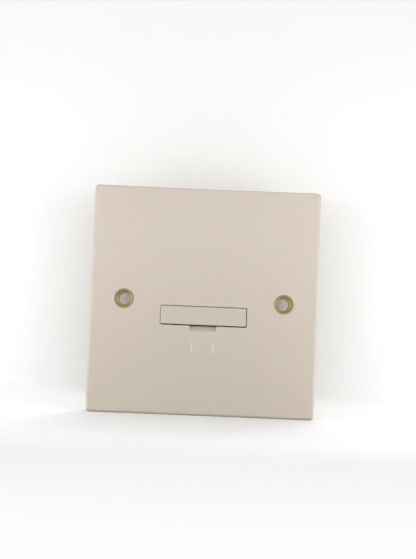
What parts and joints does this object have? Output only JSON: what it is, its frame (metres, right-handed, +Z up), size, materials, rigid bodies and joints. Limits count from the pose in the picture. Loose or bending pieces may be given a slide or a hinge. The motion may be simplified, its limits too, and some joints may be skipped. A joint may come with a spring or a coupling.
{
  "type": "fused spur unit",
  "caption": "Square off-white wall plate with a pull-out cartridge fuse carrier, lined fixing holes and screw terminals behind, for joining an appliance to a wall circuit.",
  "frame": {"origin": "centre of the wall plane behind the plate, midway between the two fixing holes", "axes": "+X right and +Z up as seen from the front, +Y into the wall"},
  "size_m": [0.086, 0.0266, 0.086],
  "materials": {
    "moulded_plate": "satin warm off-white, moulded",
    "moulded_base": "matt, moulded",
    "brass": "drawn and stamped, plain",
    "brass_screws": "turned, slotted",
    "plated_steel": "zinc plated",
    "ceramic": "unglazed, pale",
    "plated_caps": "nickel plated"
  },
  "bodies": {
    "unit": {"front_plate": "moulded_plate", "terminal_base": "moulded_base", "assembly_screws": "plated_steel", "left_eyelet": "brass", "right_eyelet": "brass", "earth_strap": "brass", "neutral_terminal": "brass", "earth_terminal": "brass", "line_load_terminal": "brass", "line_supply_terminal": "brass", "load_fuse_contact": "brass", "supply_fuse_contact": "brass"},
    "carrier": {"fuse_carrier": "moulded_plate", "fuse_barrel": "ceramic", "left_fuse_cap": "plated_caps", "right_fuse_cap": "plated_caps"},
    "screw_neutral_load": {"neutral_load_screw": "brass_screws"},
    "screw_neutral_supply": {"neutral_supply_screw": "brass_screws"},
    "screw_earth_load": {"earth_load_screw": "brass_screws"},
    "screw_earth_supply": {"earth_supply_screw": "brass_screws"},
    "screw_line_load": {"line_load_screw": "brass_screws"},
    "screw_line_supply": {"line_supply_screw": "brass_screws"}
  },
  "joints": [
    {"name": "carrier_pull", "type": "slide", "parent": "unit", "child": "carrier", "axis": [0, -1, 0], "range_m": [0, 0.014]},
    {"name": "neutral_load_clamp", "type": "slide", "parent": "unit", "child": "screw_neutral_load", "axis": [0, 1, 0], "range_m": [-0.0036, 0]},
    {"name": "neutral_supply_clamp", "type": "slide", "parent": "unit", "child": "screw_neutral_supply", "axis": [0, 1, 0], "range_m": [-0.0036, 0]},
    {"name": "earth_load_clamp", "type": "slide", "parent": "unit", "child": "screw_earth_load", "axis": [0, 1, 0], "range_m": [-0.0036, 0]},
    {"name": "earth_supply_clamp", "type": "slide", "parent": "unit", "child": "screw_earth_supply", "axis": [0, 1, 0], "range_m": [-0.0036, 0]},
    {"name": "line_load_clamp", "type": "slide", "parent": "unit", "child": "screw_line_load", "axis": [0, 1, 0], "range_m": [-0.0036, 0]},
    {"name": "line_supply_clamp", "type": "slide", "parent": "unit", "child": "screw_line_supply", "axis": [0, 1, 0], "range_m": [-0.0036, 0]}
  ]
}
